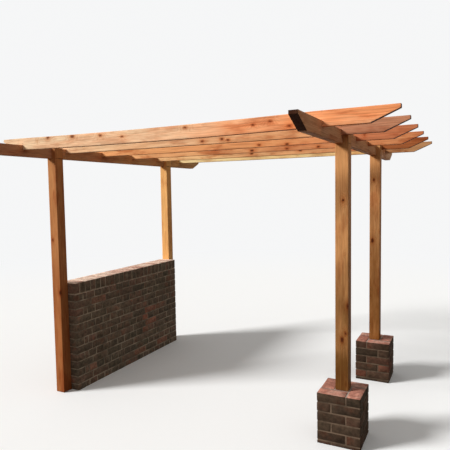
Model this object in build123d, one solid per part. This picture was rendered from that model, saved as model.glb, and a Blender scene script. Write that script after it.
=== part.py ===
from build123d import *
import os

# A garden pergola in millimetres. X runs along the rafters, Y from front to back and Z up.
# The origin is on the ground, under the middle of the whole outline.

# Timber sections, and the bevel planed along their edges
post_side = 100.0
beam_thick = 58.0
beam_depth = 100.0
rafter_thick = 47.0
rafter_depth = 102.0
arris = 2.5

# Rafters, with a long slope under each tail
rafter_count = 6
rafter_pitch = 520.0
rafter_notch = 40.0
rafter_right_overhang = 435.0
rafter_left_overhang = 190.0
tail_length = 180.0
tail_nose = 23.0

# Beams, which run past the outer rafters and slope up underneath to a nose at each end
beam_overhang = 480.0
beam_end_slope = 165.0
beam_nose = 23.0

# Posts. The right pair stands just inside the second rafter from each end, the left pair outside it.
post_span_x = 2705.0
left_post_gap = 92.0
shoulder_height = 2279.0

# Brickwork. The wall's face stands proud of the posts at its ends.
pier_side = 327.5
pier_height = 395.0
wall_thick = 215.0
wall_proud = 92.0
wall_body_height = 955.0
coping_height = 112.5

# Play at each side of a timber that lies in a notch or against a post
play = 0.3

# Places that follow from the sizes above
rafter_length = rafter_left_overhang + post_side + post_span_x + rafter_right_overhang
right_post_x = rafter_length / 2 - rafter_right_overhang - post_side / 2
left_post_x = right_post_x - post_span_x
outer_rafter_y = (rafter_count - 1) / 2 * rafter_pitch
second_rafter_y = outer_rafter_y - rafter_pitch
right_post_y = second_rafter_y - rafter_thick / 2 - play - post_side / 2
left_post_y = second_rafter_y + rafter_thick / 2 + left_post_gap + post_side / 2
beam_half_length = outer_rafter_y + rafter_thick / 2 + beam_overhang
beam_top = shoulder_height + beam_depth
rafter_bottom = beam_top - rafter_notch
rafter_top = rafter_bottom + rafter_depth
wall_length = 2 * left_post_y - post_side
wall_face_x = left_post_x + post_side / 2 + wall_proud

standing = (Align.CENTER, Align.CENTER, Align.MIN)


def post(x, y, foot):
    """A square post whose head is halved to a shoulder, which leaves a cheek beside the beam."""
    blank = Pos(x, y, foot) * Box(post_side, post_side, beam_top - foot, align=standing)
    blank = chamfer(blank.edges().filter_by(Axis.Z), arris)
    notch = Pos(x - post_side / 2, y, shoulder_height) * Box(
        beam_thick + play,
        2 * post_side,
        2 * beam_depth,
        align=(Align.MIN, Align.CENTER, Align.MIN),
    )
    return blank - notch


def beam(x):
    """A beam along Y on the shoulders of two posts, flush with their outer sides."""
    outline = Polyline(
        (-beam_half_length, beam_top),
        (beam_half_length, beam_top),
        (beam_half_length, beam_top - beam_nose),
        (beam_half_length - beam_end_slope, shoulder_height),
        (-beam_half_length + beam_end_slope, shoulder_height),
        (-beam_half_length, beam_top - beam_nose),
        close=True,
    )
    outer_side = Plane(origin=(x - post_side / 2, 0, 0), x_dir=(0, 1, 0), z_dir=(1, 0, 0))
    blank = extrude(outer_side * make_face(outline), amount=beam_thick)
    return chamfer(blank.faces().filter_by(Axis.X).edges(), arris)


def rafter(y):
    """A rafter along X, notched over both beams, that narrows to a nose at each end."""
    half = rafter_length / 2
    outline = Polyline(
        (-half, rafter_top),
        (half, rafter_top),
        (half, rafter_top - tail_nose),
        (half - tail_length, rafter_bottom),
        (-half + tail_length, rafter_bottom),
        (-half, rafter_top - tail_nose),
        close=True,
    )
    front_side = Plane(origin=(0, y - rafter_thick / 2, 0), x_dir=(1, 0, 0), z_dir=(0, -1, 0))
    blank = extrude(front_side * make_face(outline), amount=-rafter_thick)
    blank = chamfer(blank.faces().filter_by(Axis.Y).edges(), arris)
    for post_x in (left_post_x, right_post_x):
        blank -= Pos(post_x - post_side / 2 - play, y, rafter_bottom) * Box(
            beam_thick + 2 * play,
            2 * rafter_thick,
            2 * rafter_notch,
            align=(Align.MIN, Align.CENTER, Align.CENTER),
        )
    return blank


def pier(y):
    """A square brick pier under a right-hand post."""
    return Pos(right_post_x, y, 0) * Box(pier_side, pier_side, pier_height, align=standing)


def wall_layer(foot, height):
    """A layer of the wall, which fills the space between the left-hand posts."""
    return Pos(wall_face_x, 0, foot) * Box(
        wall_thick, wall_length, height, align=(Align.MAX, Align.CENTER, Align.MIN)
    )


parts = {}
for end, side in (("front", -1), ("back", 1)):
    parts[f"{end}_left_post"] = post(left_post_x, side * left_post_y, 0)
    parts[f"{end}_right_post"] = post(right_post_x, side * right_post_y, pier_height)
    parts[f"{end}_right_pier"] = pier(side * right_post_y)
parts["left_beam"] = beam(left_post_x)
parts["right_beam"] = beam(right_post_x)
for number in range(rafter_count):
    parts[f"rafter_{number + 1}"] = rafter(number * rafter_pitch - outer_rafter_y)
parts["brick_wall"] = wall_layer(0, wall_body_height)
parts["wall_coping"] = wall_layer(wall_body_height, coping_height)

os.makedirs("parts", exist_ok=True)
for name, solid in parts.items():
    export_step(solid, f"parts/{name}.step")
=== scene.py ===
import math

import bpy
import numpy as np
from mathutils import Matrix, Vector


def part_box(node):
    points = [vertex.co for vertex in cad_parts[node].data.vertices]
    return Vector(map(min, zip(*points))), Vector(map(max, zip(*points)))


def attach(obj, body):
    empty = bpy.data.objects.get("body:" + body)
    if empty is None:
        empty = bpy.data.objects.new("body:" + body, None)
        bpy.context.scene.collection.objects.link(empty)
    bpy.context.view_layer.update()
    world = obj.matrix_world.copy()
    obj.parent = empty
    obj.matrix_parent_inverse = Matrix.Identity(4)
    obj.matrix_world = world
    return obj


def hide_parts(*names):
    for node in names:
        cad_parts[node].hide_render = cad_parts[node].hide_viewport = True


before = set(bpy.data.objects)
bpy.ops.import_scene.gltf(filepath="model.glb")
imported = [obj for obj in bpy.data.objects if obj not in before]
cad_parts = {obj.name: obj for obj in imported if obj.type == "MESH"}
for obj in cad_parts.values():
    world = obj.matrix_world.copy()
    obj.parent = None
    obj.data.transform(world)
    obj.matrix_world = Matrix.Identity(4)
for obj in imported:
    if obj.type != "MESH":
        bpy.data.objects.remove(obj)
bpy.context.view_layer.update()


# Small helpers for node trees

def plug(tree, made, sockets):
    # each input takes its value, or a link where it is given a socket
    for key, value in sockets.items():
        if isinstance(value, bpy.types.NodeSocket):
            tree.links.new(value, made.inputs[key])
        else:
            made.inputs[key].default_value = value


def addNode(tree, kind, sockets=None, **fields):
    # fields are the node's own settings, sockets are values or links for its inputs
    made = tree.nodes.new(kind)
    for field, value in fields.items():
        setattr(made, field, value)
    plug(tree, made, sockets or {})
    return made


def maths(tree, operation, *values, clamp=False):
    sockets = dict(enumerate(values))
    return addNode(tree, "ShaderNodeMath", sockets, operation=operation, use_clamp=clamp).outputs[0]


def vectorMaths(tree, operation, *values, out="Vector"):
    sockets = dict(enumerate(values))
    return addNode(tree, "ShaderNodeVectorMath", sockets, operation=operation).outputs[out]


def remap(tree, value, fromMin, fromMax, toMin=0.0, toMax=1.0, smooth=True):
    # carries a value from the first span to the second, and keeps it inside that
    kind = "SMOOTHSTEP" if smooth else "LINEAR"
    sockets = {"Value": value, "From Min": fromMin, "From Max": fromMax, "To Min": toMin, "To Max": toMax}
    return addNode(tree, "ShaderNodeMapRange", sockets, interpolation_type=kind).outputs["Result"]


def shareOf(tree, value, span, amount):
    # from 0 to the amount, while the value passes from one end of the span to the other
    return maths(tree, "MULTIPLY", remap(tree, value, *span), amount)


def opaque(colour):
    # a plain colour gets its fourth number, a socket stays as it is
    return colour if isinstance(colour, bpy.types.NodeSocket) else (*colour, 1.0)


def mixColours(tree, share, first, second, blend="MIX"):
    # a Mix node has its share in input 0, and its two colours in inputs 6 and 7
    sockets = {0: share, 6: opaque(first), 7: opaque(second)}
    return addNode(tree, "ShaderNodeMix", sockets, data_type="RGBA", blend_type=blend).outputs[2]


def shaded(tree, share, colour, shade):
    # the colour times the shade, as far as the share goes
    return mixColours(tree, share, colour, shade, "MULTIPLY")


def ramp(tree, value, stops):
    # stops are (place, colour) pairs from left to right
    made = addNode(tree, "ShaderNodeValToRGB", {"Fac": value})
    elements = made.color_ramp.elements
    while len(elements) < len(stops):
        elements.new(0.5)        # its place follows
    for element, (place, colour) in zip(elements, stops):
        element.position = place
        element.color = opaque(colour)
    return made.outputs["Color"]


def grey(tree, value):
    return addNode(tree, "ShaderNodeCombineColor", {0: value, 1: value, 2: value}).outputs[0]


noiseMiddle = 0.5                # what a noise varies round


def noise(tree, vector, scale, detail, roughness, out="Fac"):
    sockets = {"Vector": vector, "Scale": scale, "Detail": detail, "Roughness": roughness}
    return addNode(tree, "ShaderNodeTexNoise", sockets).outputs[out]


def relief(tree, height, strength, depth):
    sockets = {"Height": height, "Strength": strength, "Distance": depth}
    return addNode(tree, "ShaderNodeBump", sockets).outputs["Normal"]


def newMaterial(name):
    made = bpy.data.materials.new(name)
    made.use_nodes = True
    return made, made.node_tree, made.node_tree.nodes["Principled BSDF"]


# Camera, fitted to the photograph

cameraView = {
    "place": (2.0848, -4.3825, 1.9289),
    "yaw": 26.880,           # degrees to the left of +Y
    "pitch": -3.839,         # degrees above the level
    "roll": -0.944,
    "focalPixels": 482.9,    # focal length in pixels of the photograph
    "imagePixels": 450,
    "sensor": 36.0,
}


def makeCamera(view):
    # an unturned camera looks straight down, so 90 degrees are added to its pitch
    lens = bpy.data.cameras.new("camera")
    lens.sensor_width = view["sensor"]
    lens.lens = view["focalPixels"] / view["imagePixels"] * view["sensor"]
    camera = bpy.data.objects.new("camera", lens)
    turn = (
        Matrix.Rotation(math.radians(view["yaw"]), 4, "Z")
        @ Matrix.Rotation(math.radians(90 + view["pitch"]), 4, "X")
        @ Matrix.Rotation(math.radians(view["roll"]), 4, "Z")
    )
    camera.matrix_world = Matrix.Translation(view["place"]) @ turn
    bpy.context.scene.collection.objects.link(camera)
    bpy.context.scene.camera = camera


makeCamera(cameraView)
print("camera placed")


# Studio: one soft sun from the front left, an even sky, and a pale floor

studio = {
    "sunFrom": (-1.00, -0.80, 0.71),
    "sunPower": 4.15,
    "sunWidth": 16.0,            # degrees, which softens its shadows
    "skyStrength": 0.38,
    "skyColour": (1.0, 0.985, 0.96),
    "backdrop": (0.92, 0.925, 0.93),
    "floorColour": (0.92, 0.92, 0.91),           # what is seen of the floor
    "floorBounce": (0.080, 0.048, 0.031),        # what it throws back on the object
    "floorRoughness": 0.9,
    "floorSheen": 0.1,
    "floorRadius": 40.0,
    "floorHub": 0.02,            # t at the innermost ring
    "floorRings": 24,
    "floorSpokes": 64,
    "fade": (4.5, 11.0),         # metres from the middle, between which the floor turns into the backdrop
}


def seenRays(tree):
    # 1 for rays from the camera, a mirror or glass, and 0 for rays that carry light
    paths = addNode(tree, "ShaderNodeLightPath").outputs
    seen = maths(tree, "ADD", paths["Is Camera Ray"], paths["Is Glossy Ray"])
    return maths(tree, "ADD", seen, paths["Is Transmission Ray"], clamp=True)


def makeSun(setting):
    sun = bpy.data.lights.new("sun", "SUN")
    sun.energy = setting["sunPower"]
    sun.angle = math.radians(setting["sunWidth"])
    lamp = bpy.data.objects.new("sun", sun)
    lamp.rotation_mode = "QUATERNION"
    lamp.rotation_quaternion = Vector(setting["sunFrom"]).to_track_quat("Z", "Y")
    bpy.context.scene.collection.objects.link(lamp)


def makeSky(setting):
    world = bpy.data.worlds.new("sky")
    world.use_nodes = True
    bpy.context.scene.world = world
    tree = world.node_tree
    tree.nodes.clear()
    skyLight = {"Color": opaque(setting["skyColour"]), "Strength": setting["skyStrength"]}
    sky = addNode(tree, "ShaderNodeBackground", skyLight)
    shown = addNode(tree, "ShaderNodeBackground", {"Color": opaque(setting["backdrop"])})
    both = addNode(tree, "ShaderNodeMixShader", {0: seenRays(tree), 1: sky.outputs[0], 2: shown.outputs[0]})
    addNode(tree, "ShaderNodeOutputWorld", {"Surface": both.outputs[0]})


def floorMesh(setting):
    # a disc at ground level: spokes at even angles, rings at a radius of R * t squared, with t even from
    # the hub to 1, and one face over the hub
    t, angle = np.meshgrid(
        np.linspace(setting["floorHub"], 1, setting["floorRings"]),
        np.linspace(0, 2 * math.pi, setting["floorSpokes"], endpoint=False),
    )
    radius = setting["floorRadius"] * t ** 2
    places = np.stack([radius * np.cos(angle), radius * np.sin(angle), 0 * radius], -1).reshape(-1, 3)
    grid = np.arange(len(places)).reshape(t.shape)
    after = np.roll(grid, -1, 0)
    quads = np.stack([grid[:, :-1], grid[:, 1:], after[:, 1:], after[:, :-1]], -1).reshape(-1, 4)
    mesh = bpy.data.meshes.new("floor")
    mesh.from_pydata(places.tolist(), [], quads.tolist() + [grid[:, 0].tolist()])
    return mesh


def makeFloor(setting):
    mesh = floorMesh(setting)
    floor = bpy.data.objects.new("floor", mesh)
    bpy.context.scene.collection.objects.link(floor)

    material, tree, shader = newMaterial("floor")
    plug(tree, shader, {
        "Base Color": mixColours(tree, seenRays(tree), setting["floorBounce"], setting["floorColour"]),
        "Roughness": setting["floorRoughness"],
        "Specular IOR Level": setting["floorSheen"],
    })
    source = addNode(tree, "ShaderNodeTexCoord")
    away = vectorMaths(tree, "LENGTH", source.outputs["Object"], out="Value")
    share = shareOf(tree, away, setting["fade"], seenRays(tree))
    glow = addNode(tree, "ShaderNodeEmission", {"Color": opaque(setting["backdrop"])})
    both = addNode(tree, "ShaderNodeMixShader", {0: share, 1: shader.outputs[0], 2: glow.outputs[0]})
    plug(tree, tree.nodes["Material Output"], {"Surface": both.outputs[0]})
    mesh.materials.append(material)


makeSun(studio)
makeSky(studio)
makeFloor(studio)
bpy.context.scene.view_settings.view_transform = "Standard"
print("studio lit")


# Shapes that the timbers and the bricks share

def corners(node):
    return [np.array(corner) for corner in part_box(node)]


edgeStations = [(-1, 0), (-1, 0.4), (-1, 1)]     # three points round an arris
nearlyNothing = 1e-9             # a length in metres that counts as none


def blockLattice(stations):
    # Points on the outside of a box lattice: stations holds, for each axis, pairs (a, b) that put a
    # point at a * half size + b * roundness. The quads join neighbours on the six sides.
    counts = [len(pairs) for pairs in stations]
    index = np.stack(np.meshgrid(*[np.arange(count) for count in counts], indexing="ij"), -1)
    outside = np.any((index == 0) | (index == np.array(counts) - 1), -1)
    number = np.full(counts, -1)
    number[outside] = np.arange(outside.sum())
    kept = index[outside]
    factors = np.stack([np.array(stations[axis])[kept[:, axis]] for axis in range(3)], 1)
    quads = []
    for axis in range(3):
        for end in (0, counts[axis] - 1):
            sheet = np.take(number, end, axis)
            rounds = [sheet[:-1, :-1], sheet[1:, :-1], sheet[1:, 1:], sheet[:-1, 1:]]
            side = np.stack(rounds, -1).reshape(-1, 4)
            flip = (end == 0) ^ (axis == 1)
            quads.append(side[:, ::-1] if flip else side)
    return factors[:, :, 0], factors[:, :, 1], np.concatenate(quads)


def roundBoxes(half, radius, stations):
    # A lattice point is drawn back into its box less the radius, and put at the radius along what is
    # left over. Each row of half is one box. Gives points, their outward ways, how many sides meet there.
    shares, insets, quads = blockLattice(stations)
    core = half[:, None] - radius
    points = shares[None] * half[:, None] + insets[None] * radius
    inner = np.clip(points, -core, core)
    rest = points - inner
    outward = rest / np.maximum(np.linalg.norm(rest, axis=2, keepdims=True), nearlyNothing)
    return inner + outward * radius, outward, (np.abs(rest) > nearlyNothing).sum(2), quads


def waves(places, draws, count, lengths):
    # a smooth uneven height from -1 to 1: the mean of plane waves with random ways and phases
    ways = draws.normal(size=(count, 3)) * (2 * math.pi / np.array(lengths))
    return np.sin(places @ ways.T + draws.uniform(0, 2 * math.pi, count)).mean(1)


def addMesh(name, places, faces, sharpAngle):
    mesh = bpy.data.meshes.new(name)
    mesh.vertices.add(len(places))
    mesh.vertices.foreach_set("co", np.asarray(places, np.float32).ravel())
    mesh.loops.add(faces.size)
    mesh.loops.foreach_set("vertex_index", faces.astype(np.int32).ravel())
    mesh.polygons.add(len(faces))
    mesh.polygons.foreach_set("loop_start", np.arange(len(faces), dtype=np.int32) * 4)
    mesh.update(calc_edges=True)
    mesh.validate()
    mesh.shade_smooth()
    mesh.set_sharp_from_angle(angle=math.radians(sharpAngle))
    made = bpy.data.objects.new(name, mesh)
    bpy.context.scene.collection.objects.link(made)
    return made


# Timber forms

timberForm = {
    "arris": 0.0025,             # radius of the planed edges
    "edgeRoom": 1.6,             # how many of those radii at an end have no other station
    "step": 0.012,               # between stations along a timber
    "acrossStep": 0.011,
    "play": 0.0003,              # beside a timber in a notch
    "cutWidth": 0.0002,          # half of what a cut's wall takes along the timber
    "tailLength": 0.180,
    "tailNose": 0.023,
    "beamEndSlope": 0.165,
    "beamNose": 0.023,
    "unevenness": 0.0007,        # how deep the planed faces dip
    "waveCount": 18,
    "waveAlong": 0.40,
    "waveAcross": 0.06,
    "sharpAngle": 35,
}


def stationsAlong(breaks, half, step, form):
    # evenly spaced points between each break and the next, merged to the micrometre, as shares of the
    # half size
    between = []
    for first, last in zip(breaks[:-1], breaks[1:]):
        between.append(np.linspace(first, last, max(2, round((last - first) / step) + 1)))
    places = np.unique(np.concatenate(between).round(6))
    inside = places[np.abs(places) < half - form["edgeRoom"] * form["arris"]]
    return edgeStations + [(a, 0) for a in inside / half] + [(1, -b) for a, b in edgeStations[::-1]]


def timberBlock(low, high, axis, breaks, draws, form):
    # a rounded box with stations at the breaks along its length, whose faces dip with slow waves:
    # a point sinks by unevenness * (1 - wave) / 2
    middle, half = (low + high) / 2, (high - low) / 2
    stations = []
    for way in range(3):
        within = [place - middle[way] for place in breaks] if way == axis else []
        step = form["step"] if way == axis else form["acrossStep"]
        stations.append(stationsAlong(sorted({-half[way], *within, half[way]}), half[way], step, form))
    points, outward, _, quads = roundBoxes(half[None], form["arris"], stations)
    lengths = [form["waveAcross"]] * 3
    lengths[axis] = form["waveAlong"]
    dip = form["unevenness"] * (0.5 - 0.5 * waves(points[0], draws, form["waveCount"], lengths))
    return points[0] + middle - outward[0] * dip[:, None], quads


def stepped(places, spans, level, cut, width):
    # a height along the timber that is the level, and the cut between each span's ends
    stops, heights = [], []
    for first, last in spans:
        stops += [first - width, first + width, last - width, last + width]
        heights += [level, cut, cut, level]
    return np.interp(places, stops, heights)


def slopedEnds(places, low, high, axis, level, slope, nose):
    # the underside of a timber: level, and rising in a straight slope to a nose at both ends
    stops = [low[axis], low[axis] + slope, high[axis] - slope, high[axis]]
    return np.interp(places[:, axis], stops, [high[2] - nose, level, level, high[2] - nose])


def pressedUp(places, low, high, underside):
    # z = top - (top - z) * share, with the share of the depth that is left above the underside
    share = (high[2] - underside) / (high[2] - low[2])
    return high[2] - (high[2] - places[:, 2]) * share


def rafterShape(node, draws, form):
    # the underside rises over each beam's notch and along each tail
    low, high = corners(node)
    beamSpans = [
        (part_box(beam)[0][0] - form["play"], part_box(beam)[1][0] + form["play"])
        for beam in ("left_beam", "right_beam")
    ]
    cuts = [x + way * form["cutWidth"] for span in beamSpans for x in span for way in (-1, 1)]
    tails = [low[0] + form["tailLength"], high[0] - form["tailLength"]]
    places, quads = timberBlock(low, high, 0, cuts + tails, draws, form)
    along = places[:, 0]
    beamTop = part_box("left_beam")[1][2]
    notched = stepped(along, beamSpans, low[2], beamTop, form["cutWidth"])
    tailed = slopedEnds(places, low, high, 0, low[2], form["tailLength"], form["tailNose"])
    places[:, 2] = pressedUp(places, low, high, np.maximum(notched, tailed))
    # between the beams it sags by its own bow: 4 t (1 - t), with t from beam to beam
    t = np.clip((along - beamSpans[0][1]) / (beamSpans[1][0] - beamSpans[0][1]), 0, 1)
    places[:, 2] -= timberLook[node]["bow"] * 4 * t * (1 - t)
    return places, quads


def postShape(node, draws, form):
    # above the shoulder only a cheek is left beside the beam: x = high - (high - x) * share
    low, high = corners(node)
    beamLow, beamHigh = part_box("left_beam" if "left" in node else "right_beam")
    cuts = [beamLow[2] - form["cutWidth"], beamLow[2] + form["cutWidth"]]
    places, quads = timberBlock(low, high, 2, cuts, draws, form)
    side = np.interp(places[:, 2], cuts, [low[0], beamHigh[0] + form["play"]])
    share = (high[0] - side) / (high[0] - low[0])
    places[:, 0] = high[0] - (high[0] - places[:, 0]) * share
    return places, quads


def beamShape(node, draws, form):
    # the underside is level at the bottom of its box, and slopes up to a nose at both ends
    low, high = corners(node)
    breaks = [low[1] + form["beamEndSlope"], high[1] - form["beamEndSlope"]]
    places, quads = timberBlock(low, high, 1, breaks, draws, form)
    underside = slopedEnds(places, low, high, 1, low[2], form["beamEndSlope"], form["beamNose"])
    places[:, 2] = pressedUp(places, low, high, underside)
    return places, quads


# Timber finish: a solid pattern of growth rings round a pith, knots that run out from it, and stain, with
# painted shade on the cut ends and in part at the posts' feet

# A span or edge holds the values of a noise, a gap or a direction at which an effect begins and is full.
grain = {
    "seed": 11,
    "sowing": (3.7, 1.9, 2.3),   # metres that each piece's seed moves its pattern
    "postPith": 0.022,           # the farthest that a post's pith lies from its middle, each way
    "pithAside": (0.045, 0.075),         # how far outside its middle that of a beam or rafter lies
    "pithHeight": 0.03,          # and the farthest above or below it
    "wander": 0.022,             # how far the pith strays along a piece
    "ringSpacing": 0.0052,
    "ringJitter": 0.9,           # how far rings are out of place, in rings
    # how late the wood is across a ring
    "ringProfile": [(0.0, 0.05), (0.5, 0.25), (0.86, 1.0), (0.96, 0.8), (1.0, 0.05)],
    "ringContrast": 0.38,
    "ringShade": (0.62, 0.42, 0.30),
    "fibreSpan": (0.3, 0.7),
    "fibreContrast": 0.22,
    "fibreLift": 0.4,            # how much of that contrast goes to the lighter side
    "streakSpan": (0.50, 0.72),
    "streakShare": 0.42,
    "streakShade": (0.58, 0.40, 0.32),
    "soakSpan": (0.48, 0.68),
    "blotchShade": (0.66, 0.44, 0.34),
    "patchiness": 3.0,           # how far the stain's change from end to end is broken into patches
    "tailChange": (1.00, 1.25),  # metres from a rafter's middle, where the darker colour of its tail takes over
    "tailPatches": 0.2,          # the share of the patchiness there
    "cutSpan": (0.10, 0.38),
    # cut ends: end grain that soaks up more stain, and painted shade
    "endShade": (0.105, 0.078, 0.070),
    "knotRadius": 0.008,
    "knotCells": 7.0,            # knot cells per metre
    "knotSowing": 1.31,          # metres that a seed moves them
    "knotDraw": 7.0,             # the fraction of a cell's number times this is its second draw
    "knotShell": 0.085,          # radius of the cylinder on which knots are counted
    "knotStretch": 0.55,         # how the larger knots are drawn out along the grain
    "knotEdge": (1.1, 0.75),     # this and the edges below count as knotGaps does
    "knotColour": (0.078, 0.019, 0.006),
    "rimEdge": (2.4, 1.0),
    "rimShare": 0.70,
    "knotRim": (0.56, 0.32, 0.20),
    "swellEdge": (6.0, 0.0),
    "swellBend": 0.016,          # how far the rings give way round a knot
    "glowShare": 0.8,
    "knotGlow": (0.84, 0.64, 0.50),      # the redder wood that swells round a knot
    "ragged": (70.0, 2.0, 0.5),  # the noise along a knot's edge: scale, detail and roughness
    "raggedDepth": 0.012,
    "roughness": (0.70, 0.52),
    "sheen": 0.04,
    "bump": 0.35,
    "bumpDepth": 0.0008,
    "ringRelief": 0.5,
    "knotRelief": 0.6,
}

# noises drawn out along the grain: waves per metre along it and across it, detail and roughness
grainNoise = {
    "stray": (0.9, 1.6, 2.0, 0.5),
    "jitter": (1.5, 30, 2.0, 0.5),
    "fibres": (5, 240, 3.0, 0.5),
    "streaks": (1.7, 46, 3.0, 0.6),
    "blotches": (3.2, 11, 4.0, 0.6),
    "clouds": (2.1, 7, 5.0, 0.62),
}

# Each timber: its colour at the low end and at the high end of its length, and on a rafter's tail past
# the right-hand beam where it has another, darker one; a post's low end is its foot, whose darker colour
# is partly stain and partly painted shade; how blotchy it is, how far it sags, how many of its knots show
# and how dark they are, and larger knots on its front face as (along, across, radius) from its middle,
# where across is up on a rafter and to the left on a post
timberLook = {
    "rafter_1": {
        "low": (1.00, 0.75, 0.48), "high": (1.00, 0.39, 0.160), "blotches": 0.60, "bow": 0.012,
        "knotty": 0.12, "knotDark": 0.65,
        "knots": [(-1.16, 0.036, 0.007), (-0.88, 0.026, 0.010), (-0.58, 0.014, 0.007),
                  (-0.36, -0.009, 0.005), (0.22, 0.019, 0.006), (0.76, -0.005, 0.006),
                  (0.885, 0.009, 0.005), (1.018, -0.031, 0.007)],
    },
    "rafter_2": {
        "low": (1.00, 0.69, 0.41), "high": (0.86, 0.40, 0.170), "tail": (0.57, 0.260, 0.145),
        "blotches": 0.80, "bow": 0.003, "knotty": 0.35, "knotDark": 0.80,
        "knots": [(0.067, -0.025, 0.007), (0.255, -0.020, 0.009), (0.310, -0.030, 0.007)],
    },
    "rafter_3": {
        "low": (0.98, 0.49, 0.200), "high": (0.80, 0.315, 0.130), "tail": (0.60, 0.208, 0.092),
        "blotches": 0.90, "bow": 0.004, "knotty": 0.70, "knotDark": 0.85,
        "knots": [(0.367, -0.034, 0.007), (0.635, -0.042, 0.007)],
    },
    "rafter_4": {
        "low": (0.95, 0.50, 0.22), "high": (0.62, 0.21, 0.082),
        "blotches": 0.90, "bow": 0.002, "knotty": 0.75, "knotDark": 0.90,
        "knots": [(-0.35, -0.004, 0.008), (0.07, -0.032, 0.009), (0.45, -0.032, 0.007),
                  (0.77, -0.033, 0.007)],
    },
    "rafter_5": {
        "low": (1.00, 0.66, 0.32), "high": (0.62, 0.185, 0.060), "tail": (0.38, 0.118, 0.038),
        "blotches": 0.90, "bow": 0.003, "knotty": 0.70, "knotDark": 0.90,
        "knots": [(-0.62, 0.006, 0.010), (-0.16, -0.021, 0.009), (0.42, -0.014, 0.007)],
    },
    "rafter_6": {
        "low": (1.00, 0.84, 0.45), "high": (0.86, 0.52, 0.20), "tail": (0.52, 0.270, 0.120),
        "blotches": 0.65, "bow": 0.002, "knotty": 0.60, "knotDark": 0.80,
    },
    "left_beam": {
        "low": (0.62, 0.285, 0.150), "high": (0.76, 0.430, 0.180),
        "blotches": 0.70, "knotty": 0.35, "knotDark": 0.90,
    },
    "right_beam": {
        "low": (0.66, 0.350, 0.180), "high": (0.86, 0.470, 0.220),
        "blotches": 0.80, "knotty": 0.45, "knotDark": 0.80,
    },
    "front_right_post": {
        "low": (0.160, 0.069, 0.017), "high": (0.73, 0.358, 0.138),
        "blotches": 0.50, "knotty": 0.15, "knotDark": 1.0,
        "knots": [(-0.596, -0.003, 0.010), (-0.545, -0.028, 0.005), (-0.33, -0.045, 0.006),
                  (0.47, -0.010, 0.005)],
    },
    "back_right_post": {
        "low": (0.250, 0.094, 0.021), "high": (0.73, 0.360, 0.140),
        "blotches": 0.70, "knotty": 0.50, "knotDark": 0.85,
        "knots": [(0.644, 0.008, 0.007), (0.03, 0.020, 0.011)],
    },
    "front_left_post": {
        "low": (0.38, 0.120, 0.036), "high": (0.60, 0.268, 0.098),
        "blotches": 0.65, "knotty": 0.20, "knotDark": 0.95,
        "knots": [(-0.20, -0.046, 0.011), (0.31, 0.020, 0.006)],
    },
    "back_left_post": {
        "low": (0.86, 0.44, 0.150), "high": (1.00, 0.56, 0.205),
        "blotches": 0.60, "knotty": 0.25, "knotDark": 0.80,
    },
}

quarterTurn = math.pi / 2
turnFor = {"post": (0, -quarterTurn, 0), "beam": (0, 0, quarterTurn), "rafter": (0, 0, 0)}
shapeFor = {"post": postShape, "beam": beamShape, "rafter": rafterShape}
axisFor = {"post": 2, "beam": 1, "rafter": 0}


def grainField(tree, sown, name, out="Fac"):
    along, across, detail, roughness = grainNoise[name]
    drawnOut = vectorMaths(tree, "MULTIPLY", sown, (along, across, across))
    return noise(tree, drawnOut, 1.0, detail, roughness, out)


def fromPith(tree, own, sown, pith):
    # the way across the grain from the pith, which strays by a slow noise
    stray = vectorMaths(tree, "SUBTRACT", grainField(tree, sown, "stray", "Color"), (noiseMiddle,) * 3)
    stray = vectorMaths(tree, "MULTIPLY", stray, (2 * grain["wander"],) * 3)
    across = vectorMaths(tree, "ADD", vectorMaths(tree, "SUBTRACT", own, (0, *pith)), stray)
    return vectorMaths(tree, "MULTIPLY", across, (0, 1, 1))


def knotGaps(tree, own, across, look, front, seed):
    # 1 at the edge of the nearest knot, and 1 more for every ordinary radius away from it. Knots run out
    # from the pith like branches, at the points of cells on a cylinder round it. The larger ones are
    # balls on the front face.
    shell = vectorMaths(tree, "NORMALIZE", across)
    shell = vectorMaths(tree, "MULTIPLY", shell, (grain["knotShell"],) * 3)
    lengthwise = vectorMaths(tree, "MULTIPLY", own, (1, 0, 0))
    branch = vectorMaths(tree, "ADD", lengthwise, shell)
    branch = vectorMaths(tree, "ADD", branch, (grain["knotSowing"] * seed, 0, 0))
    cells = addNode(tree, "ShaderNodeTexVoronoi", {"Vector": branch, "Scale": grain["knotCells"]})
    gap = maths(tree, "DIVIDE", cells.outputs["Distance"], grain["knotCells"])
    lot = addNode(tree, "ShaderNodeSeparateColor", {0: cells.outputs["Color"]}).outputs[0]
    hidden = maths(tree, "GREATER_THAN", lot, look["knotty"])
    draw = maths(tree, "FRACT", maths(tree, "MULTIPLY", lot, grain["knotDraw"]))
    gap = maths(tree, "ADD", gap, maths(tree, "MULTIPLY", draw, grain["knotRadius"]))
    gap = maths(tree, "ADD", gap, hidden)
    for along, aside, radius in look.get("knots", []):
        ball = vectorMaths(tree, "SUBTRACT", own, (along, front, aside))
        ball = vectorMaths(tree, "MULTIPLY", ball, (grain["knotStretch"], 1, 1))
        ball = vectorMaths(tree, "LENGTH", ball, out="Value")
        gap = maths(tree, "MINIMUM", gap, maths(tree, "SUBTRACT", ball, radius - grain["knotRadius"]))
    ragged = maths(tree, "SUBTRACT", noise(tree, own, *grain["ragged"]), noiseMiddle)
    ragged = maths(tree, "MULTIPLY", ragged, grain["raggedDepth"])
    return maths(tree, "DIVIDE", maths(tree, "ADD", gap, ragged), grain["knotRadius"])


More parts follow.
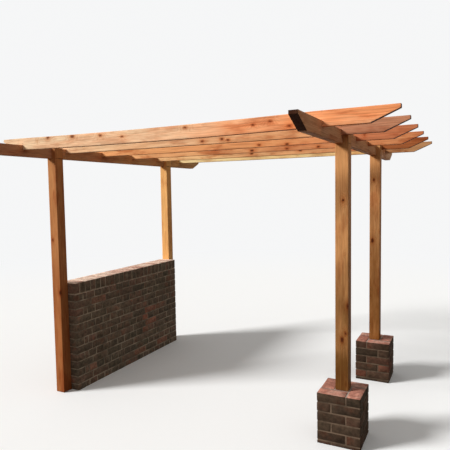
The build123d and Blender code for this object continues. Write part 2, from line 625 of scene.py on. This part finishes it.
def growthRings(tree, across, sown, swell):
    # how late the wood is: the profile of a ring at the fraction of (distance + bend) / spacing + jitter,
    # with the distance from the pith
    distance = vectorMaths(tree, "LENGTH", across, out="Value")
    bent = maths(tree, "ADD", distance, maths(tree, "MULTIPLY", swell, grain["swellBend"]))
    jitter = maths(tree, "MULTIPLY", grainField(tree, sown, "jitter"), grain["ringJitter"])
    phase = maths(tree, "ADD", maths(tree, "DIVIDE", bent, grain["ringSpacing"]), jitter)
    profile = [(place, (lateness,) * 3) for place, lateness in grain["ringProfile"]]
    return ramp(tree, maths(tree, "FRACT", phase), profile)


def stainAndPaintedShadeAlong(tree, own, sown, look, halfLength):
    # from the low end's colour to the high end's, in a change that clouds move to and fro, then the tail's;
    # this is stain, and in part painted shade at the feet of the posts
    along = addNode(tree, "ShaderNodeSeparateXYZ", {0: own}).outputs["X"]
    clouds = maths(tree, "SUBTRACT", grainField(tree, sown, "clouds"), noiseMiddle)
    shift = maths(tree, "MULTIPLY", clouds, grain["patchiness"] * halfLength)
    change = remap(tree, maths(tree, "ADD", along, shift), -halfLength, halfLength, smooth=False)
    colour = mixColours(tree, change, look["low"], look["high"])
    if "tail" in look:
        place = maths(tree, "ADD", along, maths(tree, "MULTIPLY", shift, grain["tailPatches"]))
        colour = mixColours(tree, remap(tree, place, *grain["tailChange"]), colour, look["tail"])
    return colour


def timberMaterial(name, kind, low, high, pith, seed):
    # own is the place from the timber's middle, with X along the grain, and sown is own moved by the seed
    look = timberLook[name]
    material, tree, shader = newMaterial(f"timber_{name}")
    source = addNode(tree, "ShaderNodeTexCoord")
    sockets = {"Vector": source.outputs["Object"], "Location": (low + high) / 2, "Rotation": turnFor[kind]}
    own = addNode(tree, "ShaderNodeMapping", sockets, vector_type="TEXTURE").outputs["Vector"]
    sown = vectorMaths(tree, "ADD", own, tuple(way * seed for way in grain["sowing"]))

    across = fromPith(tree, own, sown, pith)
    front = float((low - high)[1]) / 2
    gap = knotGaps(tree, own, across, look, front, seed)
    knot = remap(tree, gap, *grain["knotEdge"])
    swell = remap(tree, gap, *grain["swellEdge"])
    late = growthRings(tree, across, sown, swell)
    fibres = grainField(tree, sown, "fibres")

    # the colour along the piece, in part painted shade at the posts' feet; then the stain soaks in unevenly
    # and runs into streaks, and late wood, fibres and knots show through it
    colour = stainAndPaintedShadeAlong(tree, own, sown, look, float((high - low)[axisFor[kind]]) / 2)
    soaked = shareOf(tree, grainField(tree, sown, "blotches"), grain["soakSpan"], look["blotches"])
    colour = shaded(tree, soaked, colour, grain["blotchShade"])
    streaked = shareOf(tree, grainField(tree, sown, "streaks"), grain["streakSpan"], grain["streakShare"])
    colour = shaded(tree, streaked, colour, grain["streakShade"])
    colour = shaded(tree, maths(tree, "MULTIPLY", late, grain["ringContrast"]), colour, grain["ringShade"])
    darkest = 1 - grain["fibreContrast"]
    lightest = 1 + grain["fibreLift"] * grain["fibreContrast"]
    fibreShade = remap(tree, fibres, *grain["fibreSpan"], darkest, lightest)
    colour = shaded(tree, 1.0, colour, grey(tree, fibreShade))
    colour = shaded(tree, maths(tree, "MULTIPLY", swell, grain["glowShare"]), colour, grain["knotGlow"])
    rim = shareOf(tree, gap, grain["rimEdge"], grain["rimShare"])
    colour = shaded(tree, rim, colour, grain["knotRim"])
    colour = mixColours(tree, maths(tree, "MULTIPLY", knot, look["knotDark"]), colour, grain["knotColour"])

    # cut ends and sloped ends are darker by the share of the face's direction that lies along the grain:
    # end grain soaks up more stain, and the rest of that darkness is painted shade, as on the shaded slopes
    # under the ends
    axis = tuple(float(axisFor[kind] == way) for way in range(3))
    endOn = vectorMaths(tree, "DOT_PRODUCT", source.outputs["Normal"], axis, out="Value")
    cut = remap(tree, maths(tree, "ABSOLUTE", endOn), *grain["cutSpan"])
    colour = shaded(tree, cut, colour, grain["endShade"])

    height = maths(tree, "ADD", fibres, maths(tree, "MULTIPLY", late, grain["ringRelief"]))
    height = maths(tree, "SUBTRACT", height, maths(tree, "MULTIPLY", knot, grain["knotRelief"]))
    plug(tree, shader, {
        "Base Color": colour,
        "Roughness": remap(tree, fibres, *grain["fibreSpan"], *grain["roughness"]),
        "Specular IOR Level": grain["sheen"],
        "Normal": relief(tree, height, grain["bump"], grain["bumpDepth"]),
    })
    return material


def buildTimber():
    draws = np.random.default_rng(grain["seed"])
    for seed, name in enumerate(sorted(timberLook)):
        kind = next(word for word in shapeFor if word in name)
        low, high = corners(name)
        side = draws.choice((-1, 1))
        if kind == "post":
            pith = tuple(draws.uniform(-grain["postPith"], grain["postPith"], 2))
        else:
            aside = side * draws.uniform(*grain["pithAside"])
            pith = (aside, draws.uniform(-grain["pithHeight"], grain["pithHeight"]))
        places, quads = shapeFor[kind](name, draws, timberForm)
        made = addMesh(f"{name}_wood", places, quads, timberForm["sharpAngle"])
        made.data.materials.append(timberMaterial(name, kind, low, high, pith, seed + 1))
        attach(made, "root")
        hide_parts(name)


buildTimber()
print("timber cut and stained")


# Brickwork: its shapes

brick = {
    "length": 0.215,
    "width": 0.1025,
    "height": 0.065,
    "joint": 0.010,
    "headers": 13,               # between the two closers of a header course
    "roundness": 0.0035,
    "mostRound": 0.3,            # the most that its roundness takes of half a cut brick
    "roughness": 0.0009,         # how uneven its faces are
    "chips": 0.0055,             # how deep the worst corner is knocked off
    "chipPower": 5,              # the higher, the fewer corners are badly worn
    "edgeWear": 0.45,            # the share of that wear along an edge
    "shift": (0.0012, 0.0012, 0.0006),   # how far it sits out of line
    "turn": 0.35,                # degrees
    "leastCut": 0.012,           # a lower course than this at the ground is left as mortar
    "mortarDepth": 0.0035,       # how far the joints are raked back
    "mortarStep": 0.014,
    "ripple": 0.0022,            # how uneven the mortar is
    "rippleCount": 24,
    "rippleLength": 0.05,
    "sharpAngle": 50,
}

# lattice stations along a brick's length and width, and along its height
longSide = [(-1, 0), (-1, 1), (-0.34, 0), (0.34, 0), (1, -1), (1, 0)]
thinSide = [(-1, 0), (-1, 1), (1, -1), (1, 0)]


def layBricks(boxes, draws, setting):
    # Rounded boxes, each with its own chipped corners: a point sinks by an even random depth, and by its
    # own wear, drawn as u ** chipPower, in full where three sides meet and in part along an edge.
    boxes = np.array(boxes)
    middle = (boxes[:, 0] + boxes[:, 1]) / 2
    half = (boxes[:, 1] - boxes[:, 0]) / 2
    radius = np.minimum(setting["roundness"], setting["mostRound"] * half.min(1))[:, None, None]
    points, outward, sides, quads = roundBoxes(half, radius, [longSide, longSide, thinSide])
    sink = draws.uniform(0, setting["roughness"], sides.shape)
    worn = draws.uniform(0, 1, sides.shape) ** setting["chipPower"] * setting["chips"]
    sink = sink + np.where(sides == 3, worn, np.where(sides == 2, setting["edgeWear"] * worn, 0.0))
    points = points - outward * sink[..., None]

    angle = np.radians(draws.uniform(-1, 1, len(half)) * setting["turn"])[:, None]
    turned = points.copy()
    turned[..., 0] = points[..., 0] * np.cos(angle) - points[..., 1] * np.sin(angle)
    turned[..., 1] = points[..., 0] * np.sin(angle) + points[..., 1] * np.cos(angle)
    middle = middle + draws.uniform(-1, 1, middle.shape) * setting["shift"]
    places = turned + middle[:, None]
    places[..., 2] = np.maximum(places[..., 2], 0.0)
    faces = quads[None] + (np.arange(len(half)) * points.shape[1])[:, None, None]
    return places.reshape(-1, 3), faces.reshape(-1, 4), points.shape[1]


def mortarBlock(low, high, draws, setting):
    # the bed in which the bricks sit: a box set back from their faces, whose sides move out and in by
    # ripple * wave
    low = np.array(low) + setting["mortarDepth"] * np.array((1, 1, 0))
    high = np.array(high) - setting["mortarDepth"]
    counts = np.maximum(2, ((high - low) / setting["mortarStep"]).astype(int))
    stations = [[(a, 0) for a in np.linspace(-1, 1, count)] for count in counts]
    shares, _, quads = blockLattice(stations)
    places = (low + high) / 2 + shares * (high - low) / 2
    outward = np.where(np.abs(shares) == 1, shares, 0)
    outward = outward / np.linalg.norm(outward, axis=1, keepdims=True)
    rippled = waves(places, draws, setting["rippleCount"], [setting["rippleLength"]] * 3)
    places = places + outward * (rippled * setting["ripple"])[:, None]
    places[:, 2] = np.maximum(places[:, 2], 0.0)
    return places, quads


def boxAt(corner, near, far, foot, head):
    # the box of a brick whose plan, from near to far, is measured from a corner
    return (corner[0] + near[0], corner[1] + near[1], foot), (corner[0] + far[0], corner[1] + far[1], head)


def coursesDown(top, bottom, setting):
    # (low, high) of each course, counted from the top down, the last one cut at the ground
    pitch = setting["height"] + setting["joint"]
    heads = top - pitch * np.arange(math.ceil((top - bottom) / pitch))
    return [
        (max(head - setting["height"], bottom), head)
        for head in heads
        if head - bottom > setting["leastCut"]
    ]


def pierBoxes(low, high, firstTurn, setting):
    # four stretchers chase each other round a half brick, and each course turns the other way
    boxes = []
    along, thick = setting["length"], setting["width"]
    width = high[0] - low[0]
    for number, (foot, head) in enumerate(coursesDown(high[2], low[2], setting)):
        plans = [
            ((0, 0), (along, thick)),
            ((width - thick, 0), (width, along)),
            ((width - along, width - thick), (width, width)),
            ((0, width - along), (thick, width)),
            ((thick + setting["joint"],) * 2, (width - thick - setting["joint"],) * 2),
        ]
        for near, far in plans:
            near, far = np.array(near, float), np.array(far, float)
            if (number + firstTurn) % 2:      # mirrored in X
                near[0], far[0] = width - far[0], width - near[0]
            boxes.append(boxAt(low, near, far, foot, head))
    return boxes


def wallBoxes(low, high, setting):
    # English bond: a course of headers through the wall, with closers beside the end ones, over a course
    # of stretchers in two rows, and so on down. Gives each brick's box, and its course, its distance from
    # the front end and whether it shows on the inner face.
    boxes, places = [], []
    along, thick, joint = setting["length"], setting["width"], setting["joint"]
    run = high[1] - low[1]
    for number, (foot, head) in enumerate(coursesDown(high[2], low[2], setting)):
        if number % 2:
            count = round((run + joint) / (along + joint))
            pitch = (run + joint) / count
            spans = [(pitch * k, pitch * (k + 1) - joint) for k in range(count)]
            rows = [(0, thick), (high[0] - low[0] - thick, high[0] - low[0])]
        else:
            closer = (along + joint) / 4 - joint
            widths = [thick, closer] + [thick] * setting["headers"] + [closer, thick]
            starts = np.cumsum([0] + [width + joint for width in widths[:-1]])
            stretch = run / (starts[-1] + thick)
            spans = [(start * stretch, (start + width) * stretch) for start, width in zip(starts, widths)]
            rows = [(0, high[0] - low[0])]
        for near, far in spans:
            for left, right in rows:
                boxes.append(boxAt(low, (left, near), (right, far), foot, head))
                places.append((number, (near + far) / 2, right > thick))
    return boxes, places


def copingBoxes(low, high, setting):
    # bricks on edge across the wall
    joint = setting["joint"]
    run = high[1] - low[1] + joint
    count = round(run / (setting["height"] + joint))
    pitch = run / count
    foot = low[2] + joint
    return [
        ((low[0], low[1] + pitch * k, foot), (high[0], low[1] + pitch * (k + 1) - joint, high[2]))
        for k in range(count)
    ]


# Brickwork: its finish

brickLook = {
    "apart": (9, 7, 5),                      # metres that a brick's own numbers move its pattern
    "commonTones": (0.0, 0.86),
    "redTones": (0.90, 1.0),
    "tones": [
        (0.00, (0.092, 0.078, 0.056)),
        (0.22, (0.124, 0.090, 0.062)),
        (0.44, (0.104, 0.084, 0.060)),
        (0.64, (0.138, 0.096, 0.068)),
        (0.84, (0.158, 0.100, 0.071)),
        (0.90, (0.205, 0.103, 0.070)),
        (1.00, (0.262, 0.124, 0.082)),
    ],
    "burntSpan": (0.50, 0.32),
    "burnt": (0.62, 0.68, 0.62),             # where a brick's face is scorched
    "flushedSpan": (0.52, 0.70),
    "flushed": (1.30, 0.92, 0.82),           # and where it turned redder
    "bloomAndShadeSpan": (0.44, 0.62),
    "oliveBloomAndShadeTint": (0.116, 0.099, 0.067),            # an olive bloom over many bricks, partly real and partly the greenish light of the shaded inner face, painted
    "bloomAndShadeShare": 0.55,
    "sunSidePaintedShade": (0.88, 0.64, 0.54),            # painted shade: the side towards -X, which faces the sun, is darker and redder and has no bloom
    # the tops, much paler than the sides: dust and bleaching on the beds, and painted sunlight
    "tops": [
        (0.00, (0.190, 0.080, 0.056)),
        (0.45, (0.430, 0.182, 0.128)),
        (1.00, (0.850, 0.640, 0.500)),
    ],
    "topPatches": (0.3, 0.7, -0.22, 0.22),   # a span of the patches, and what it does to the paleness
    "mottle": (0.3, 0.7, 0.70, 1.30),
    "smearSpan": (0.57, 0.72),
    "smear": (2.0, 2.1, 2.1),                # dried mortar on a face, as a lighter shade of it
    "smearShare": 0.45,
    # pits in the face: darkened with painted shade, and pressed in by the relief
    "pitSpan": (0.62, 0.70),
    "pitPaintedShade": (0.25, 0.22, 0.20),
    "pitShare": 0.6,
    "pitRelief": 0.5,
    "roughness": 0.92,
    "sheen": 0.10,
    "bump": 0.7,
    "bumpDepth": 0.003,
}

mortarLook = {
    "patchSpan": (0.35, 0.65),
    "pale": (0.340, 0.290, 0.215),
    "dark": (0.150, 0.128, 0.094),
    "sunSidePaintedShade": brickLook["sunSidePaintedShade"],
    # the mortar's tops, pale as the bricks': partly painted sunlight
    "tops": [
        (0.00, (0.200, 0.150, 0.120)),
        (0.45, (0.420, 0.330, 0.270)),
        (1.00, (0.800, 0.660, 0.530)),
    ],
    "sand": (0.35, 0.65, 0.75, 1.2),
    "roughness": 0.95,
    "sheen": 0.10,
    "bump": 0.6,
    "bumpDepth": 0.002,
}

# noises of the bricks, and of the mortar in the last three: scale, detail and roughness
brickNoise = {
    "patches": (8.0, 4.0, 0.6),
    "bloom": (1.6, 5.0, 0.65),
    "mottle": (34.0, 6.0, 0.62),
    "smears": (15.0, 5.0, 0.65),
    "pits": (160.0, 3.0, 0.6),
    "dents": (90.0, 8.0, 0.7),
    "mortar": (7.0, 4.0, 0.6),
    "sand": (420.0, 3.0, 0.6),
    "grit": (260.0, 6.0, 0.7),
}

# how light the bricks' sides are, as a factor, whose low value on the piers is painted shade; how pale
# their tops are, from 0 to 1, which is partly painted sunlight; and a tint
batches = {
    "wall": {"light": (1.18, 1.50), "top": (0.62, 1.05), "tint": (1.05, 1.00, 0.99)},
    "pier": {"light": (0.34, 0.56), "top": (0.30, 0.56), "tint": (1.10, 0.87, 0.78)},
}
buried = -1.0                    # the paleness of a brick with others above it

# an axis, and the part of a face's direction along it at which a top, or the outer side of the wall,
# begins and is reached in full
facings = {"top": ("Z", 0.55, 0.9), "outer": ("X", -0.35, -0.85)}


def facing(tree, source, side):
    # 1 on the faces of that side, 0 on the others
    axis, start, full = facings[side]
    parts = addNode(tree, "ShaderNodeSeparateXYZ", {0: source.outputs["Normal"]})
    return remap(tree, parts.outputs[axis], start, full)


def readFiring(tree):
    # a brick's own numbers, as a vector and one by one: its tone, how light its sides and how pale its top
    firing = addNode(tree, "ShaderNodeAttribute", attribute_name="firing")
    parts = addNode(tree, "ShaderNodeSeparateColor", {0: firing.outputs["Color"]})
    return firing.outputs["Vector"], *[parts.outputs[k] for k in range(3)]


def makeBrickFace(kind, look):
    # the sides take the brick's tone, scorched and flushed in patches; the top has a paler tone of its own,
    # which is dust and bleaching and partly painted sunlight
    material, tree, shader = newMaterial(f"brick_face_{kind}")
    source = addNode(tree, "ShaderNodeTexCoord")
    numbers, tone, light, paleness = readFiring(tree)
    own = vectorMaths(tree, "MULTIPLY", numbers, look["apart"])
    own = vectorMaths(tree, "ADD", source.outputs["Object"], own)

    side = ramp(tree, tone, look["tones"])
    patches = noise(tree, own, *brickNoise["patches"])
    side = shaded(tree, remap(tree, patches, *look["burntSpan"]), side, look["burnt"])
    side = shaded(tree, remap(tree, patches, *look["flushedSpan"]), side, look["flushed"])
    # painted light and shade by side: the side towards -X is darkened and reddened and kept free of the
    # olive bloom, so the inner face stays paler
    outer = facing(tree, source, "outer")
    bloom = noise(tree, source.outputs["Object"], *brickNoise["bloom"])
    bloom = shareOf(tree, bloom, look["bloomAndShadeSpan"], remap(tree, outer, 0.0, 1.0, look["bloomAndShadeShare"], 0.0))
    side = mixColours(tree, bloom, side, look["oliveBloomAndShadeTint"])
    side = shaded(tree, outer, side, look["sunSidePaintedShade"])
    # the batch's light factor, which on the piers is painted shade
    side = shaded(tree, 1.0, side, grey(tree, light))
    side = shaded(tree, 1.0, side, batches[kind]["tint"])

    # worn is how pale the top is: dust and bleaching, and painted sunlight
    worn = maths(tree, "ADD", paleness, remap(tree, patches, *look["topPatches"], smooth=False))
    bare = maths(tree, "GREATER_THAN", paleness, buried / 2)
    isTop = maths(tree, "MULTIPLY", facing(tree, source, "top"), bare)
    colour = mixColours(tree, isTop, side, ramp(tree, worn, look["tops"]))

    mottle = remap(tree, noise(tree, own, *brickNoise["mottle"]), *look["mottle"])
    colour = shaded(tree, 1.0, colour, grey(tree, mottle))
    smears = noise(tree, own, *brickNoise["smears"])
    smears = shareOf(tree, smears, look["smearSpan"], look["smearShare"])
    colour = shaded(tree, smears, colour, look["smear"])
    # painted shade in the pits, which the relief also presses in
    pits = remap(tree, noise(tree, own, *brickNoise["pits"]), *look["pitSpan"])
    colour = shaded(tree, maths(tree, "MULTIPLY", pits, look["pitShare"]), colour, look["pitPaintedShade"])
    depth = maths(tree, "MULTIPLY", pits, look["pitRelief"])
    height = maths(tree, "SUBTRACT", noise(tree, own, *brickNoise["dents"]), depth)
    plug(tree, shader, {
        "Base Color": colour,
        "Roughness": look["roughness"],
        "Specular IOR Level": look["sheen"],
        "Normal": relief(tree, height, look["bump"], look["bumpDepth"]),
    })
    return material


def makeMortarFace(kind, look):
    # pale and dark patches with the bricks' light, which on the piers is painted shade, and tint, pale tops
    # that are partly painted sunlight, and grains of sand
    material, tree, shader = newMaterial(f"mortar_face_{kind}")
    source = addNode(tree, "ShaderNodeTexCoord")
    own = source.outputs["Object"]
    light, paleness = readFiring(tree)[2:]
    patch = remap(tree, noise(tree, own, *brickNoise["mortar"]), *look["patchSpan"])
    colour = mixColours(tree, patch, look["pale"], look["dark"])
    colour = shaded(tree, 1.0, colour, grey(tree, light))
    colour = shaded(tree, 1.0, colour, batches[kind]["tint"])
    # painted shade on the side towards -X, as on the bricks
    colour = shaded(tree, facing(tree, source, "outer"), colour, look["sunSidePaintedShade"])
    colour = mixColours(tree, facing(tree, source, "top"), colour, ramp(tree, paleness, look["tops"]))
    sand = remap(tree, noise(tree, own, *brickNoise["sand"]), *look["sand"])
    grit = noise(tree, own, *brickNoise["grit"])
    plug(tree, shader, {
        "Base Color": shaded(tree, 1.0, colour, grey(tree, sand)),
        "Roughness": look["roughness"],
        "Specular IOR Level": look["sheen"],
        "Normal": relief(tree, grit, look["bump"], look["bumpDepth"]),
    })
    return material


brickFinish = {kind: makeBrickFace(kind, brickLook) for kind in batches}
mortarFinish = {kind: makeMortarFace(kind, mortarLook) for kind in batches}


# Brickwork: its pieces

wall = {
    "seed": 5,
    "copingSeed": 6,
    # red bricks on its inner face: course from the top, and metres from the front end
    "reds": [(1, 0.34), (5, 1.23), (6, 1.14), (7, 1.14), (8, 1.20), (10, 0.30), (11, 1.12), (11, 1.45)],
    "redReach": 0.12,            # how far from there the middle of a brick may be
}

# the piers: which way their top course turns, and red bricks by their number, from 0 at the top
piers = {
    "front": {"seed": 7, "firstTurn": 0, "reds": []},
    "back": {"seed": 8, "firstTurn": 1, "reds": [16, 21]},
}


def buildBrickwork(name, node, boxes, reds, seed, kind, setting):
    # Bricks and mortar in one mesh. Each brick carries three numbers for its material: its tone, how
    # light its sides are and how pale its top is, drawn evenly from the spans of its batch. The mortar
    # carries the middles of these spans.
    draws = np.random.default_rng(seed)
    low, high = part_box(node)
    brickPlaces, brickFaces, perBrick = layBricks(boxes, draws, setting)
    mortarPlaces, mortarFaces = mortarBlock(low, high, draws, setting)
    places = np.concatenate([brickPlaces, mortarPlaces])
    faces = np.concatenate([brickFaces, mortarFaces + len(brickPlaces)])
    made = addMesh(name, places, faces, setting["sharpAngle"])

    spans = np.array([brickLook["commonTones"], batches[kind]["light"], batches[kind]["top"]])
    firing = draws.uniform(spans[:, 0], spans[:, 1], (len(boxes), 3))
    firing[reds, 0] = draws.uniform(*brickLook["redTones"], len(reds))
    firing[np.array(boxes)[:, 1, 2] < high[2] - setting["joint"], 2] = buried
    colours = np.ones((len(places), 4), np.float32)
    colours[:, :3] = spans.mean(1)
    colours[: len(brickPlaces), :3] = np.repeat(firing, perBrick, 0)
    made.data.attributes.new("firing", "FLOAT_COLOR", "POINT").data.foreach_set("color", colours.ravel())

    made.data.materials.append(brickFinish[kind])
    made.data.materials.append(mortarFinish[kind])
    isMortar = np.arange(len(faces)) >= len(brickFaces)
    made.data.polygons.foreach_set("material_index", isMortar.astype(np.int32))
    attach(made, "root")
    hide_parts(node)


def buildWall():
    low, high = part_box("brick_wall")
    boxes, places = wallBoxes(low, high, brick)
    reds = []
    for course, distance in wall["reds"]:
        near = [
            number for number, (row, middle, inner) in enumerate(places)
            if row == course and inner and abs(middle - distance) < wall["redReach"]
        ]
        reds += near[:1]
    buildBrickwork("wall_brickwork", "brick_wall", boxes, reds, wall["seed"], "wall", brick)
    low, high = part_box("wall_coping")
    boxes = copingBoxes(low, high, brick)
    buildBrickwork("coping_brickwork", "wall_coping", boxes, [], wall["copingSeed"], "wall", brick)


def buildPiers():
    for name, pier in piers.items():
        low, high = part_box(f"{name}_right_pier")
        boxes = pierBoxes(low, high, pier["firstTurn"], brick)
        piece = f"{name}_pier_brickwork"
        buildBrickwork(piece, f"{name}_right_pier", boxes, pier["reds"], pier["seed"], "pier", brick)


buildWall()
buildPiers()
print("brickwork laid")
